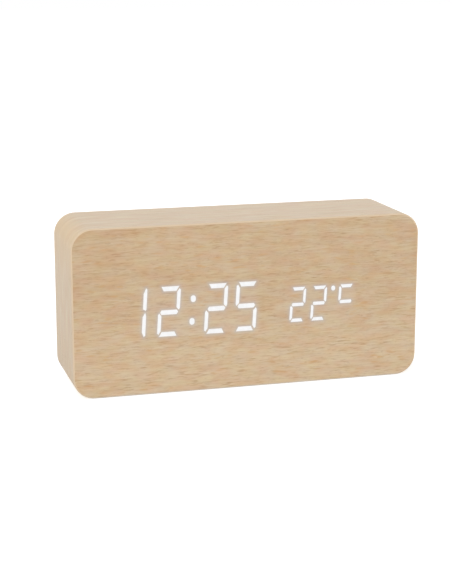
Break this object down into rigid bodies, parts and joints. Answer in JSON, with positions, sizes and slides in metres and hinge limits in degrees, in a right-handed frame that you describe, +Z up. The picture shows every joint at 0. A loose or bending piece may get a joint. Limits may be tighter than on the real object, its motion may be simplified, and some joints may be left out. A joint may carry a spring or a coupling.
{
  "type": "digital clock",
  "caption": "Free-standing desk clock in pale wood veneer, with a time and temperature display that shines through its front, and buttons, a power inlet and a battery tray at the back.",
  "frame": {"origin": "middle of the flat base, halfway between the front and the back", "axes": "+X to the right seen from the front, +Y from the front face to the back face, +Z up"},
  "size_m": [0.15, 0.041, 0.071],
  "materials": {
    "front_veneer": "matt veneer with fine level grain",
    "edge_veneer": "matt pale veneer band with straight grain",
    "fibreboard": "raw pressed fibreboard",
    "white_plastic": "moulded, matt",
    "lit_segment": "translucent, lit from behind",
    "circuit_board": "solder mask",
    "chip_yellow": "phosphor gel",
    "component_black": "moulded, matt",
    "steel": "plated",
    "cover_plastic": "moulded with a fine spark texture",
    "button_plastic": "moulded, satin",
    "ribbon_grey": "extruded",
    "connector_ivory": "moulded",
    "cell_sleeve": "shrunk sleeve",
    "wire_red": "extruded",
    "wire_black": "extruded"
  },
  "bodies": {
    "case": {"case_frame": "fibreboard", "front_board": "fibreboard", "front_veneer": "front_veneer", "edge_band": "edge_veneer", "back_veneer": "front_veneer", "light_box": "white_plastic", "display_board": "circuit_board", "led_chips": "chip_yellow", "hour_tens_lens": "lit_segment", "hour_ones_lens": "lit_segment", "colon_lens": "lit_segment", "minute_tens_lens": "lit_segment", "minute_ones_lens": "lit_segment", "degree_tens_lens": "lit_segment", "degree_ones_lens": "lit_segment", "degree_dot_lens": "lit_segment", "unit_lens": "lit_segment", "clock_chip": "component_black", "clock_chip_legs": "steel", "timing_crystal": "steel", "display_screws": "steel", "ribbon_cable": "ribbon_grey", "ribbon_connectors": "connector_ivory", "control_board": "circuit_board", "board_screws": "steel", "tact_switch_bodies": "component_black", "usb_socket": "steel", "usb_tongue": "component_black", "buzzer": "component_black", "microphone": "steel", "temperature_sensor": "component_black", "coin_cell_holder": "component_black", "coin_cell": "steel", "rear_cover": "cover_plastic", "cover_screws": "steel", "aaa_cells": "cell_sleeve", "battery_springs": "steel", "contact_plates": "steel", "red_lead": "wire_red", "black_lead": "wire_black"},
    "set_key": {"set_button": "button_plastic", "set_plunger": "component_black"},
    "up_key": {"up_button": "button_plastic", "up_plunger": "component_black"},
    "down_key": {"down_button": "button_plastic", "down_plunger": "component_black"},
    "door": {"battery_door": "cover_plastic"}
  },
  "joints": [
    {"name": "set_press", "type": "slide", "parent": "case", "child": "set_key", "axis": [0, -1, 0], "range_m": [0, 0.0005], "stiffness_N_per_m": 3000},
    {"name": "up_press", "type": "slide", "parent": "case", "child": "up_key", "axis": [0, -1, 0], "range_m": [0, 0.0005], "stiffness_N_per_m": 3000},
    {"name": "down_press", "type": "slide", "parent": "case", "child": "down_key", "axis": [0, -1, 0], "range_m": [0, 0.0005], "stiffness_N_per_m": 3000},
    {"name": "door_hinge", "type": "hinge", "parent": "case", "child": "door", "pos_m": [-0.05725, 0.0189, 0.0355], "axis": [0, 0, 1], "range_deg": [0, 95]}
  ]
}
